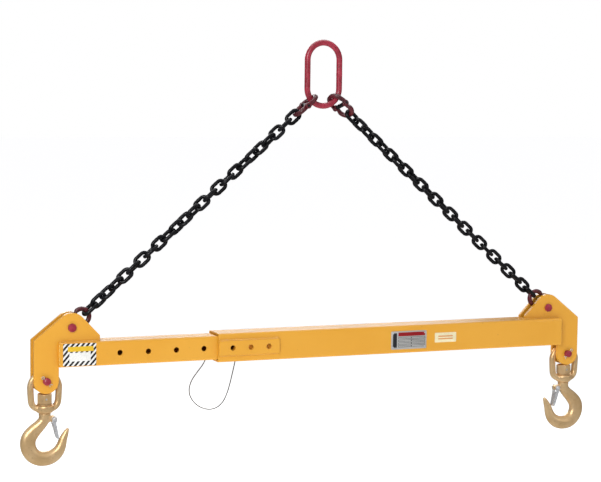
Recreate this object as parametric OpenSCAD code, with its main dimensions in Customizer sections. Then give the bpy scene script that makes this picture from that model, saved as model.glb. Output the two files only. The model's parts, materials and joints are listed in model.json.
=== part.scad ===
// Adjustable spreader beam: a telescoping square-tube beam that hangs from a master link on two
// chain legs and carries a swivel hook at each end. Sizes are in millimetres.
// The origin is the seat for the hoist's hook, at the inside of the master link's crown.
// X runs along the beam, Y goes through it from front to back, and Z points up.

/* [Beam] */
// Distance between the two hook pins with the beam fully extended
spread = 1524; // [1500:1:1560]
// Outside width of the outer square tube
outer_w = 76.2; // [75:0.1:78]
// Outside width of the inner square tube
inner_w = 63.5; // [62:0.1:64]
// Wall thickness of both tubes
wall = 4.8; // [4:0.1:5]
// Distance from the left hook pin to the mouth of the outer tube
sleeve_reach = 457.2; // [450:0.1:470]
// Distance between neighbouring index holes
index_pitch = 76.2; // [74:0.1:78]
// Diameter of the index pin
index_d = 12.7; // [10:0.1:13]

/* [End brackets] */
// Thickness of one cheek plate
cheek_t = 9.5; // [8:0.1:10]
// Gap between the two cheek plates of a bracket
cheek_gap = 19; // [18.6:0.1:19.2]
// Width of a cheek's leg
leg_w = 65; // [62:1:68]
// Diameter of the pin that takes the chain leg
upper_pin_d = 16; // [15:0.1:16]
// Diameter of the pin that takes the hook
lower_pin_d = 19; // [18:0.1:19]

/* [Sling] */
// Bar diameter of the chain
chain_d = 10; // [9:0.1:10]
// Pitch of the chain
chain_pitch = 31; // [30:0.1:32]
// Number of chain links in a leg
chain_links = 25; // [21:2:27]
// Bar diameter of the master link
master_d = 15.9; // [14:0.1:16]
// Width inside the master link
master_w = 76.2; // [74:0.1:80]
// Length inside the master link
master_l = 152.4; // [140:0.1:160]

/* [Hooks] */
// Width inside the bail
bail_w = 51; // [50:1:53]
// Diameter of the swivel shank
shank_d = 20; // [16:1:22]

/* [Hidden] */
$fn = 48;

// Clearances
bearing_gap = 0.4;   // between parts that hang in each other
bore_play = 0.1;     // added to a bore's diameter over its pin
cut = 1;             // how far a cutter runs past the face that it cuts

// Beam and brackets, measured from the beam's centre line
pin_x = spread / 2;              // hook pin
pin_z = -66.7;
sling_pin_x = pin_x - 66.7;      // chain pin
sling_pin_z = 68;
tube_end_x = pin_x - leg_w / 2 + 0.5;
mouth_x = sleeve_reach - pin_x;
inner_end_x = 0;
index_holes = 5;
index_hole_d = index_d + 1.6;
index_x = mouth_x + 38.1;        // hole that takes the index pin
sleeve_holes = 3;
sleeve_hole_pitch = 50.8;
sleeve_plate = [170, 6.4, 38];
tube_corner_r = 6;
weld_r = 2.5;
cheek_top_r = 38;
cheek_foot_x = pin_x - 140.6;    // inboard end of the cheek on the tube
cheek_foot_z = 45.6;
cheek_shoulder_z = 37.5;
end_cap_t = 5;

// Couplings
coupling_d = 12;
coupling_in_w = 28;
coupling_in_l = 62;
eye_d = 16;
eye_t = 5.6;
load_pin_d = 8;
sleeve_d = 12;

// Sling geometry: each leg turns about the centre of the master link's lower bow
bow_r = (master_w + master_d) / 2;
master_gap = 0.6;
coupling_start = bow_r - master_d / 2 - master_gap;
chain_start = coupling_start + coupling_in_l - bearing_gap;
chain_end = chain_start + chain_links * chain_pitch;
leg_len = chain_end + coupling_in_l - bearing_gap - upper_pin_d / 2;
leg_angle = acos(sling_pin_x / leg_len);
bow_z = sling_pin_z + leg_len * sin(leg_angle);
beam_z = -(bow_z + master_l - master_w / 2);
left_lean = 0.05;                // extra slope of the left leg, which centres it on its travel
chain_in_w = chain_d * 1.4;
left_twist = 270 / (chain_links + 1);
right_roll = -30;
right_twist = -60 / (chain_links + 1);

// Hook and bail, measured from the hook pin
bail_top_r = bail_w / 2;
bail_top_z = lower_pin_d / 2 + bearing_gap - bail_top_r;
bail_floor_z = -64;
bail_base_z = -84;
collar_h = 7;
collar_z = bail_base_z - 0.8;
nut_w = 36;
nut_h = 26;
washer_h = 3;
washer_z = bail_floor_z + 0.4;
nut_z = washer_z + washer_h + 0.4;
nut_pin_d = 5;
latch_pivot = [23, -100];
latch_bolt_d = 6;
latch_len = 54;
latch_tilt = 12.5;
latch_w = 24;
latch_t = 2;
latch_depth = 7;

// Stations down the hook, from its collar to its tip: [x, z, width, thickness]
HOOK = [
    [0, -91, 29, 29], [-3, -104, 28, 28], [-13, -116, 30, 27], [-28, -130, 35, 27],
    [-40, -145, 39, 27], [-44, -160, 40, 28], [-41, -177, 40, 29], [-31, -192, 39, 30],
    [-16, -201, 38, 31], [2, -203, 37, 31], [19, -199, 35, 29], [34, -188, 31, 26],
    [43, -173, 26, 23], [48, -157, 21, 20], [54, -143, 16, 16], [59, -133, 10, 12],
    [62, -128, 5, 7]
];

// Index pin, drawn back out of the inner tube so that the beam can be adjusted
index_len = 131.5;
index_tip_y = inner_w / 2 + 1.2;
index_head_y = index_tip_y + index_len;
ring_r = 19.5;
ring_d = 3.6;
eye_r = 5;                       // the lanyard's crimped eyes
ferrule_l = 10;
ferrule_gap = 0.4;               // between a ferrule and the lanyard's own solid

// Route of the lanyard from the pull ring to its anchor, measured from the beam's centre line
lanyard_d = 3;
LANYARD = [
    [-267, 176, -55], [-267, 176, -64], [-275, 175, -78], [-292, 171, -97], [-308, 165, -115],
    [-318, 158, -134], [-320, 150, -154], [-312, 140, -172], [-296, 129, -186],
    [-275, 117, -191], [-256, 106, -184], [-243, 95, -167], [-236, 85, -144],
    [-232, 76, -120], [-229, 69, -97], [-226, 63, -74], [-223, 58, -52], [-219, 55, -36],
    [-218, 54, -26]
];

// Colours
paint = [0.93, 0.66, 0.16];
maroon = [0.55, 0.10, 0.16];
black_steel = [0.08, 0.08, 0.09];
gold = [0.72, 0.58, 0.36];
zinc = [0.75, 0.76, 0.78];

// ---- Functions ----

// A point on a smooth curve through a list of rows, at t from 0 to the last row's number
function wrap(rows, i) = rows[min(max(i, 0), len(rows) - 1)];
function curve_at(rows, t) =
    let (i = min(floor(t), len(rows) - 2), f = t - i,
         a = wrap(rows, i - 1), b = wrap(rows, i), c = wrap(rows, i + 1), d = wrap(rows, i + 2))
    0.5 * (2 * b + (c - a) * f + (2 * a - 5 * b + 4 * c - d) * f * f
           + (3 * b - a - 3 * c + d) * f * f * f);
function resample(rows, n) =
    [for (k = [0:n]) curve_at(rows, k * (len(rows) - 1) / n)];
function unit(v) = v / norm(v);
function way(p, i) = unit(wrap(p, i + 1) - wrap(p, i - 1));
// Sides across a path that stay level, for a path that never runs straight along Y
function side_of(w) = unit(cross(w, [0, 1, 0]));

// ---- General shapes ----

module at_beam() { translate([0, 0, beam_z]) children(); }

// Local Z runs down a leg from the bow's centre, and local X is the beam's depth
module down_leg(side) {
    lean = side < 0 ? left_lean : 0;
    translate([0, 0, beam_z + bow_z])
        rotate([0, side * (90 + leg_angle + lean), 0])
            rotate([0, 0, 90]) children();
}

// Moves from the left end's hook pin to either end, and mirrors the hook to face inwards
module at_hook(side) {
    translate([side * pin_x, 0, beam_z + pin_z])
        if (side > 0) rotate([0, 0, 180]) children(); else children();
}

module along_y(y0, y1, d) {
    translate([0, y0, 0]) rotate([-90, 0, 0]) cylinder(d = d, h = y1 - y0);
}

module ring(r, d) {
    rotate_extrude() translate([r, 0]) circle(d = d);
}

module half_ring(r, d) {
    rotate([90, 0, 0]) rotate_extrude(angle = 180) translate([r, 0]) circle(d = d);
}

// An oval link in the XZ plane, long in Z
module oval_link(in_l, in_w, d) {
    r = (in_w + d) / 2;
    h = (in_l - in_w) / 2;
    for (s = [0, 1]) mirror([0, 0, s]) translate([0, 0, h]) half_ring(r, d);
    for (s = [-1, 1]) translate([s * r, 0, -h]) cylinder(d = d, h = 2 * h);
}

module tube_outline(w, r) {
    for (k = [0:3]) rotate(90 * k) translate([w / 2 - r, w / 2 - r]) circle(r);
    square([w - 2 * r, w], center = true);
    square([w, w - 2 * r], center = true);
}

module square_tube(w, x0, x1) {
    translate([x0, 0, 0]) rotate([90, 0, 90]) linear_extrude(x1 - x0) difference() {
        tube_outline(w, tube_corner_r);
        tube_outline(w - 2 * wall, tube_corner_r - wall + 1);
    }
}

// A solid swept along a path in the XZ plane, with oval sections [x, z, width, thickness]
module swept_bar(rows, steps, sides) {
    path = resample(rows, steps);
    centre = [for (p = path) [p[0], 0, p[1]]];
    points = [for (i = [0:steps]) for (k = [0:sides - 1])
        let (a = 360 * k / sides, across = side_of(way(centre, i)))
        centre[i] + across * cos(a) * path[i][2] / 2 + [0, sin(a) * path[i][3] / 2, 0]];
    skin(points, steps, sides);
}

// Closes rings of points into a solid
module skin(points, steps, sides) {
    polyhedron(points, concat(
        [for (i = [0:steps - 1]) for (k = [0:sides - 1]) let (n = (k + 1) % sides)
            [i * sides + k, i * sides + n, (i + 1) * sides + n, (i + 1) * sides + k]],
        [[for (k = [sides - 1:-1:0]) k]],
        [[for (k = [0:sides - 1]) steps * sides + k]]), convexity = 6);
}

// ---- Sling ----

module master_link() {
    color(maroon) translate([0, 0, beam_z + bow_z + (master_l - master_w) / 2])
        oval_link(master_l, master_w, master_d);
}

// Half of a coupling, with its bow towards +Z and its two eyes on the load pin at the middle.
// The eyes of one half lie outside those of the other.
module coupling_half(outside) {
    r = (coupling_in_w + coupling_d) / 2;
    bow = (coupling_in_l - coupling_in_w) / 2;
    eye_x = outside ? r + 0.2 : r - 0.2 - eye_t;
    color(maroon) difference() {
        union() {
            translate([0, 0, bow]) half_ring(r, coupling_d);
            for (s = [0, 1]) mirror([s, 0, 0]) {
                translate([r, 0, eye_d / 2 + 0.5])
                    cylinder(d = coupling_d, h = bow - eye_d / 2 - 0.5);
                intersection() {
                    translate([r, 0, 0]) cylinder(d = coupling_d, h = bow);
                    translate([eye_x, -eye_d, 0]) cube([eye_t, 2 * eye_d, bow]);
                }
                translate([eye_x, 0, 0]) rotate([0, 90, 0]) cylinder(d = eye_d, h = eye_t);
            }
        }
        translate([-2 * r, 0, 0]) rotate([0, 90, 0])
            cylinder(d = load_pin_d + bore_play, h = 4 * r);
    }
}

module coupling_pin() {
    r = (coupling_in_w + coupling_d) / 2;
    half = r + 0.2 + eye_t;
    color(black_steel) {
        translate([-half, 0, 0]) rotate([0, 90, 0]) cylinder(d = load_pin_d, h = 2 * half);
        difference() {
            sleeve_half = r - eye_t - 0.6;
            translate([-sleeve_half, 0, 0]) rotate([0, 90, 0])
                cylinder(d = sleeve_d, h = 2 * sleeve_half);
            translate([-2 * r, 0, 0]) rotate([0, 90, 0])
                cylinder(d = load_pin_d + bore_play, h = 4 * r);
        }
    }
}

// Places a coupling part on a leg: at the top or the bottom, with the leg's roll there
module at_coupling(side, bottom) {
    roll = side < 0 ? (bottom ? (chain_links + 1) * (90 + left_twist) : 0)
                    : right_roll + (bottom ? (chain_links + 1) * (90 + right_twist) : 0);
    z = (bottom ? chain_end : coupling_start) + coupling_in_l / 2;
    down_leg(side) translate([0, 0, z]) rotate([0, 0, roll]) children();
}

module chain(side) {
    roll = side < 0 ? 0 : right_roll;
    twist = side < 0 ? left_twist : right_twist;
    color(black_steel) down_leg(side) for (k = [1:chain_links])
        translate([0, 0, chain_start + (k - 0.5) * chain_pitch + bearing_gap / 2])
            rotate([0, 0, roll + k * (90 + twist)])
                oval_link(chain_pitch + bearing_gap, chain_in_w, chain_d);
}

module upper_half(side) { at_coupling(side, false) rotate([180, 0, 0]) coupling_half(true); }
module upper_eye_half(side) { at_coupling(side, false) coupling_half(false); }
module lower_eye_half(side) { at_coupling(side, true) rotate([180, 0, 0]) coupling_half(false); }
module lower_half(side) { at_coupling(side, true) coupling_half(true); }

// ---- Beam ----

module index_bore(x, y0, y1) {
    translate([x, 0, 0]) along_y(y0, y1, index_hole_d);
}

module outer_tube() {
    color(paint) at_beam() difference() {
        square_tube(outer_w, mouth_x, tube_end_x);
        cheek_slot(1, outer_w);
        for (k = [0:sleeve_holes - 1])
            index_bore(index_x + k * sleeve_hole_pitch, -outer_w, outer_w);
    }
}

module inner_tube() {
    color(paint) at_beam() difference() {
        square_tube(inner_w, -tube_end_x, inner_end_x);
        cheek_slot(-1, inner_w);
        for (k = [0:index_holes - 1])
            index_bore(index_x - k * index_pitch, -inner_w, inner_w);
    }
}

// The slot in a tube's top wall that both cheeks pass through
module cheek_slot(side, w) {
    long = tube_end_x - cheek_foot_x + cut;
    mid = side * (cheek_foot_x + long / 2);
    translate([mid, 0, w / 2]) cube([long, cheek_gap + 2 * cheek_t + 0.4, 4 * wall], center = true);
}

module sleeve_plate_at(front) {
    y = front ? -outer_w / 2 - sleeve_plate[1] : outer_w / 2;
    color(paint) at_beam() difference() {
        translate([mouth_x, y, -sleeve_plate[2] / 2]) cube(sleeve_plate);
        for (k = [0:sleeve_holes - 1])
            index_bore(index_x + k * sleeve_hole_pitch, y - cut, y + sleeve_plate[1] + cut);
    }
}

// Beads along both long edges of each sleeve plate
module sleeve_welds() {
    color(paint) at_beam() for (sy = [-1, 1], sz = [-1, 1]) difference() {
        translate([mouth_x, sy * outer_w / 2, sz * sleeve_plate[2] / 2])
            rotate([0, 90, 0]) cylinder(r = weld_r * 1.6, h = sleeve_plate[0]);
        translate([mouth_x - cut, -outer_w / 2, -sleeve_plate[2]])
            cube([sleeve_plate[0] + 2 * cut, outer_w, 2 * sleeve_plate[2]]);
        translate([mouth_x - cut, -outer_w, -sleeve_plate[2] / 2])
            cube([sleeve_plate[0] + 2 * cut, 2 * outer_w, sleeve_plate[2]]);
    }
}

module data_plate() {
    color(zinc) at_beam() translate([195, -outer_w / 2 - 1, -27]) cube([107, 1, 50]);
}

module data_plate_rivets() {
    color(zinc) at_beam() for (x = [201, 296], z = [-21, 17])
        translate([x, 0, z]) along_y(-outer_w / 2 - 2.2, -outer_w / 2 - 1, 4);
}

module capacity_label() {
    color("ivory") at_beam() translate([328, -outer_w / 2 - 0.4, -13]) cube([66, 0.4, 27]);
}

module hazard_decal() {
    color("khaki") at_beam() translate([-722, -inner_w / 2 - 0.4, -29]) cube([87, 0.4, 58]);
}

module lanyard_anchor() {
    end = LANYARD[len(LANYARD) - 1];
    face_y = outer_w / 2 + sleeve_plate[1];
    hole_z = end[2] + ferrule_l + 2 * eye_r;
    color(zinc) at_beam() difference() {
        translate([end[0] - 2, face_y, hole_z - 7]) cube([4, end[1] + 6 - face_y, 14]);
        translate([end[0] - 10, end[1], hole_z]) rotate([0, 90, 0])
            cylinder(d = lanyard_d + 3, h = 20);
    }
}

// ---- End brackets ----

module cheek_outline(tube_w) {
    difference() {
        union() {
            translate([pin_x, pin_z]) circle(d = leg_w);
            translate([sling_pin_x, sling_pin_z]) circle(cheek_top_r);
            polygon([
                [pin_x - leg_w / 2, pin_z], [pin_x + leg_w / 2, pin_z],
                [pin_x + leg_w / 2, cheek_shoulder_z],
                [sling_pin_x + cheek_top_r * cos(50), sling_pin_z + cheek_top_r * sin(50)],
                [sling_pin_x - cheek_top_r * cos(44), sling_pin_z + cheek_top_r * sin(44)],
                [cheek_foot_x, cheek_foot_z],
                [cheek_foot_x, -tube_w / 2 + wall + 0.2],
                [tube_end_x + 0.2, -tube_w / 2 + wall + 0.2],
                [tube_end_x + 0.2, -tube_w / 2], [pin_x - leg_w / 2, -tube_w / 2]
            ]);
        }
        translate([pin_x, pin_z]) circle(d = lower_pin_d + bore_play);
        translate([sling_pin_x, sling_pin_z]) circle(d = upper_pin_d + bore_play);
    }
}

module cheek(side, front) {
    y = front ? -cheek_gap / 2 : cheek_gap / 2 + cheek_t;
    color(paint) at_beam() mirror([side < 0 ? 1 : 0, 0, 0])
        translate([0, y, 0]) rotate([90, 0, 0])
            linear_extrude(cheek_t) cheek_outline(side < 0 ? inner_w : outer_w);
}

cheek_out = cheek_gap / 2 + cheek_t;   // outer face of a cheek

// Strips that close a tube's end between each cheek and the tube's wall
module end_caps(side) {
    inside = (side < 0 ? inner_w : outer_w) / 2 - wall;
    high = 2 * (inside - 2.5);
    color(paint) at_beam() for (sy = [-1, 1]) {
        y = sy < 0 ? -inside : cheek_out;
        x = side < 0 ? -tube_end_x : tube_end_x - end_cap_t;
        translate([x, y, -high / 2]) cube([end_cap_t, inside - cheek_out, high]);
    }
}

module upper_pin(side) {
    color(maroon) at_beam() translate([side * sling_pin_x, 0, sling_pin_z]) difference() {
        union() {
            along_y(-cheek_out - 5, cheek_out + 12, upper_pin_d);
            along_y(-cheek_out - 5, -cheek_out, 22);
        }
        cotter_bore(cheek_out + 6, 0, 0);
    }
}

module lower_pin(side) {
    color(maroon) at_beam() translate([side * pin_x, 0, pin_z]) difference() {
        union() {
            along_y(-cheek_out - 12, cheek_out + 5, lower_pin_d);
            along_y(cheek_out, cheek_out + 5, 26);
        }
        cotter_bore(-cheek_out - 6, side, 45);
    }
}

cotter_d = 4;

module cotter_bore(y, side, lean) {
    translate([0, y, 0]) rotate([0, side * lean, 0])
        translate([0, 0, -20]) cylinder(d = cotter_d + bore_play, h = 40);
}

// A split cotter: a loop above the pin and a shank through it
module cotter(y, pin_d, side, lean) {
    translate([0, y, 0]) rotate([0, side * lean, 0]) {
        translate([0, 0, -pin_d / 2 - 9]) cylinder(d = cotter_d, h = pin_d + 10);
        translate([0, 0, pin_d / 2 + 4.5]) rotate([90, 0, 0]) ring(2.6, 2);
    }
}

module cotters(side) {
    color(zinc) at_beam() {
        translate([side * sling_pin_x, 0, sling_pin_z]) cotter(cheek_out + 6, upper_pin_d, 0, 0);
        translate([side * pin_x, 0, pin_z]) cotter(-cheek_out - 6, lower_pin_d, side, 45);
    }
}

// ---- Index pin and lanyard ----

module index_pin() {
    color(zinc) at_beam() translate([index_x, 0, 0]) difference() {
        union() {
            along_y(index_tip_y + 3, index_head_y, index_d);
            translate([0, index_tip_y + 3, 0]) rotate([90, 0, 0])
                cylinder(d1 = index_d, d2 = index_d - 5, h = 3);
            along_y(index_head_y, index_head_y + 6, 24);
            intersection() {
                along_y(index_head_y + 6, index_head_y + 18, 14);
                translate([-3, 0, -10]) cube([6, index_head_y + 20, 20]);
            }
        }
        translate([-20, index_head_y + 12, 0]) rotate([0, 90, 0])
            cylinder(d = ring_d + 2, h = 40);
    }
}

module pull_ring() {
    color(zinc) at_beam() translate([index_x, index_head_y + 12, -ring_r])
        rotate([90, 0, 0]) ring(ring_r, ring_d);
}

module lanyard() {
    steps = 44;
    sides = 8;
    path = resample(LANYARD, steps);
    points = [for (i = [0:steps]) for (k = [0:sides - 1])
        let (w = way(path, i), across = side_of(w), up = cross(across, w), a = 360 * k / sides)
        path[i] + (across * cos(a) + up * sin(a)) * lanyard_d / 2];
    color(zinc) at_beam() skin(points, steps, sides);
}

// A crimped eye at either end of the lanyard
module lanyard_pin_end() {
    color(zinc) at_beam() crimped_eye(LANYARD[0], 90);
}

module lanyard_anchor_end() {
    color(zinc) at_beam() crimped_eye(LANYARD[len(LANYARD) - 1], 0);
}

module crimped_eye(foot, turn) {
    translate(foot + [0, 0, ferrule_gap]) {
        cylinder(d = 6, h = ferrule_l);
        translate([0, 0, ferrule_l + eye_r]) rotate([90, 0, turn]) ring(eye_r, lanyard_d);
    }
}

// ---- Swivel hooks, drawn at the left end about the hook pin ----

module bail(side) {
    side_x = bail_w / 2 + 9.5;
    color(gold) at_hook(side) difference() {
        union() {
            translate([0, 0, bail_top_z]) bail_bow();
            for (s = [-1, 1]) translate([s * side_x, 0, 0]) bail_side();
            translate([0, 0, bail_base_z]) cylinder(d1 = 46, d2 = 54, h = 8);
            translate([0, 0, bail_base_z + 8]) cylinder(d = 54, h = bail_floor_z - bail_base_z - 8);
            translate([-side_x - 9.5 + 6, -9, bail_base_z + 6])
                cube([2 * side_x + 7, 18, bail_floor_z - bail_base_z - 6]);
        }
        translate([0, 0, bail_base_z - cut])
            cylinder(d = shank_d + 0.6, h = bail_floor_z - bail_base_z + 2 * cut);
        translate([-bail_w / 2, -40, bail_floor_z]) cube([bail_w, 80, 40]);
    }
}

// The bow that hangs on the pin, flat enough to pass between the cheeks
module bail_bow() {
    r = bail_w / 2 + 8;
    rotate([90, 0, 0]) rotate_extrude(angle = 180) translate([r, 0]) bail_section();
}

module bail_section() {
    intersection() {
        circle(d = 19);
        square([16, 16], center = true);
    }
}

module bail_side() {
    low = bail_base_z + 10;
    translate([-1.5, 0, low]) linear_extrude(bail_top_z - low) intersection() {
        circle(d = 20);
        square([16, 16], center = true);
    }
    translate([0, 0, low]) linear_extrude(34) intersection() {
        circle(d = 22);
        square([19, 18], center = true);
    }
}

module hook(side) {
    top = nut_z + nut_h + 0.8;
    color(gold) at_hook(side) difference() {
        union() {
            swept_bar(HOOK, 44, 16);
            translate([0, 0, collar_z - collar_h]) cylinder(d = 31, h = collar_h);
            translate([0, 0, collar_z - 1]) cylinder(d = shank_d, h = top - collar_z + 1);
            translate([latch_pivot[0] - 14, -8, latch_pivot[1] - 7]) cube([14, 16, 14]);
            translate([latch_pivot[0], 0, latch_pivot[1]]) along_y(-8, 8, 14);
        }
        translate([latch_pivot[0], 0, latch_pivot[1]])
            along_y(-20, 20, latch_bolt_d + bore_play);
        translate([0, 0, nut_z + nut_h / 2]) along_y(-20, 20, nut_pin_d + bore_play);
    }
}

module swivel_nut(side) {
    color(gold) at_hook(side) difference() {
        translate([0, 0, nut_z]) rotate([0, 0, 15]) cylinder(d = nut_w / cos(30), h = nut_h, $fn = 6);
        translate([0, 0, nut_z - cut]) cylinder(d = shank_d + bore_play, h = nut_h + 2 * cut);
        translate([0, 0, nut_z + nut_h / 2]) along_y(-30, 30, nut_pin_d + bore_play);
    }
}

module nut_pin(side) {
    color(zinc) at_hook(side) translate([0, 0, nut_z + nut_h / 2])
        along_y(-nut_w / 2, nut_w / 2, nut_pin_d);
}

module thrust_washer(side) {
    color(gold) at_hook(side) translate([0, 0, washer_z]) difference() {
        cylinder(d = 38, h = washer_h);
        translate([0, 0, -cut]) cylinder(d = shank_d + 0.6, h = washer_h + 2 * cut);
    }
}

module at_latch(side) {
    at_hook(side) translate([latch_pivot[0], 0, latch_pivot[1]])
        rotate([0, -latch_tilt, 0]) children();
}

// A pressed latch: two ears on the bolt and a channel that closes the throat
module latch(side) {
    in_w = latch_w - 2 * latch_t;
    color(zinc) at_latch(side) difference() {
        union() {
            for (s = [-1, 1]) translate([0, s * (latch_w - latch_t) / 2, 0])
                along_y(-latch_t / 2, latch_t / 2, 14);
            difference() {
                translate([latch_t - latch_depth, -latch_w / 2, -latch_len])
                    cube([latch_depth, latch_w, latch_len]);
                translate([-latch_depth, -in_w / 2, -latch_len - cut])
                    cube([latch_depth, in_w, latch_len + 2 * cut]);
                translate([-latch_depth, -in_w / 2, -12]) cube([2 * latch_depth, in_w, 12 + cut]);
            }
        }
        along_y(-latch_w, latch_w, latch_bolt_d + bore_play);
    }
}

module latch_bolt(side) {
    half = latch_w / 2 + 0.3;
    color(zinc) at_latch(side) {
        along_y(-half - 3, half + 3, latch_bolt_d);
        along_y(half, half + 4, 11);
        along_y(-half - 4, -half, 11);
    }
}

// Torsion spring: a coil on each side of the hook's ear
module latch_spring(side) {
    color(zinc) at_latch(side) for (s = [-1, 1]) translate([0, s * 9, 0]) rotate([90, 0, 0])
        ring(4.6, 1.6);
}

master_link();
upper_half(-1);  // left_upper_coupling_top
upper_eye_half(-1);  // left_upper_coupling_bottom
at_coupling(-1, false) coupling_pin();  // left_upper_load_pin
chain(-1);  // left_chain
lower_eye_half(-1);  // left_lower_coupling_top
lower_half(-1);  // left_lower_coupling_bottom
at_coupling(-1, true) coupling_pin();  // left_lower_load_pin
upper_half(1);  // right_upper_coupling_top
upper_eye_half(1);  // right_upper_coupling_bottom
at_coupling(1, false) coupling_pin();  // right_upper_load_pin
chain(1);  // right_chain
lower_eye_half(1);  // right_lower_coupling_top
lower_half(1);  // right_lower_coupling_bottom
at_coupling(1, true) coupling_pin();  // right_lower_load_pin
outer_tube();
sleeve_plate_at(true);  // front_sleeve_plate
sleeve_plate_at(false);  // back_sleeve_plate
sleeve_welds();
lanyard_anchor();
data_plate();
data_plate_rivets();
capacity_label();
inner_tube();
hazard_decal();
cheek(-1, true);  // left_front_cheek
cheek(-1, false);  // left_back_cheek
upper_pin(-1);  // left_upper_pin
lower_pin(-1);  // left_lower_pin
cotters(-1);  // left_cotters
cheek(1, true);  // right_front_cheek
cheek(1, false);  // right_back_cheek
upper_pin(1);  // right_upper_pin
lower_pin(1);  // right_lower_pin
cotters(1);  // right_cotters
end_caps(-1);  // left_end_caps
end_caps(1);  // right_end_caps
index_pin();
pull_ring();
lanyard();
lanyard_pin_end();
lanyard_anchor_end();
bail(-1);  // left_bail
hook(-1);  // left_hook
swivel_nut(-1);  // left_swivel_nut
nut_pin(-1);  // left_nut_pin
thrust_washer(-1);  // left_thrust_washer
latch(-1);  // left_latch
latch_bolt(-1);  // left_latch_bolt
latch_spring(-1);  // left_latch_spring
bail(1);  // right_bail
hook(1);  // right_hook
swivel_nut(1);  // right_swivel_nut
nut_pin(1);  // right_nut_pin
thrust_washer(1);  // right_thrust_washer
latch(1);  // right_latch
latch_bolt(1);  // right_latch_bolt
latch_spring(1);  // right_latch_spring
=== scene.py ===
import json
import math

import bmesh
import bpy
from mathutils import Matrix, Vector, noise


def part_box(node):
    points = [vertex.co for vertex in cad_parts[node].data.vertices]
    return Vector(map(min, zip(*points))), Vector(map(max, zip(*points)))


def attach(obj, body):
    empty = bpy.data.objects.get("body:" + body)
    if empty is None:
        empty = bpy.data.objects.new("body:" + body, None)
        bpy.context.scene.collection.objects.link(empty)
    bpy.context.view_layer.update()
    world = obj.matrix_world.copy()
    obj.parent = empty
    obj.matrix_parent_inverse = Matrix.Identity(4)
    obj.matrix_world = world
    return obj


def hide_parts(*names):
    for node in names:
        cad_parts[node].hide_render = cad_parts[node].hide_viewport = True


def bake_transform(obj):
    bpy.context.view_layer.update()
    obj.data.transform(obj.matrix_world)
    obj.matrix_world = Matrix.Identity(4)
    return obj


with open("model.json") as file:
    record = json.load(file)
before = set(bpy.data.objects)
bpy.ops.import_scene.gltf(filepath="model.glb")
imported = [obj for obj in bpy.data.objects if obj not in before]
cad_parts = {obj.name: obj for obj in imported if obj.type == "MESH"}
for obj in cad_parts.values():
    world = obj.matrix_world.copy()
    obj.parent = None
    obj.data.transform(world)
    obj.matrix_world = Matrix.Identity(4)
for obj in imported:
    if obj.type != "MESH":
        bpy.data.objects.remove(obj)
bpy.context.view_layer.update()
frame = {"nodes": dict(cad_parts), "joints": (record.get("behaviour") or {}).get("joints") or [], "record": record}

# The sizes of the pieces are in mm, and those of the camera, the lights and the floor in metres
MM = 0.001
TO_METRES = Matrix.Scale(MM, 4)
UP_TO_Y = Matrix.Rotation(math.radians(-90), 4, "X")          # turns +Z to +Y
UP_TO_FRONT = Matrix.Rotation(math.radians(90), 4, "X")       # turns +Z to -Y
UP_TO_X = Matrix.Rotation(math.radians(90), 4, "Y")           # turns +Z to +X
BLACK, WHITE = (0, 0, 0, 1), (1, 1, 1, 1)

NODES = frame["nodes"]
JOINTS = {joint["name"]: joint for joint in frame["joints"]}
SIDES = {"left": -1, "right": 1}
BEAM_OF = {"left": "inner_beam", "right": "outer_beam"}


def middle(node):
    """The middle of a CAD node's box, in metres."""
    low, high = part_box(node)
    return (low + high) / 2


BEAM = Vector((0, 0, middle("inner_tube").z))


# ---- Camera, light and stage ----

CAMERA_PLACE = (-1.8827, -4.4254, -0.0945)
CAMERA_TURN, CAMERA_DIP, CAMERA_ROLL = -22.38, 5.11, 0.69      # degrees
CAMERA_LENS, SENSOR_W = 107.26, 36
LIGHTS_AIM = Vector((0, 0, -0.6))
FLOOR_Z, FLOOR_REACH, FLOOR_GLOW = -1.6, 40, 0.55
# The room that the object reflects: (share of the height, brightness), from straight down to straight up
ROOM = [(0.0, 0.30), (0.42, 0.16), (0.5, 0.07), (0.62, 0.16), (0.85, 0.60)]
ROOM_BLUE = 1.02


def make_camera():
    camera = bpy.data.objects.new("camera", bpy.data.cameras.new("camera"))
    bpy.context.scene.collection.objects.link(camera)
    bpy.context.scene.camera = camera
    turn = Matrix.Rotation(math.radians(CAMERA_TURN), 4, "Z")
    tilt = Matrix.Rotation(math.radians(90 - CAMERA_DIP), 4, "X")
    roll = Matrix.Rotation(math.radians(CAMERA_ROLL), 4, "Z")
    camera.rotation_euler = (turn @ tilt @ roll).to_euler()
    camera.location = CAMERA_PLACE
    camera.data.sensor_width = SENSOR_W
    camera.data.lens = CAMERA_LENS


def make_light(name, place, size, energy):
    """A white softbox, (width, height) in metres and energy in watts, aimed at the object's middle."""
    data = bpy.data.lights.new(name, "AREA")
    data.shape = "RECTANGLE"
    data.size, data.size_y = size
    data.energy = energy
    light = bpy.data.objects.new(name, data)
    bpy.context.scene.collection.objects.link(light)
    light.location = place
    light.rotation_euler = (LIGHTS_AIM - Vector(place)).to_track_quat("-Z", "Y").to_euler()


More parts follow.
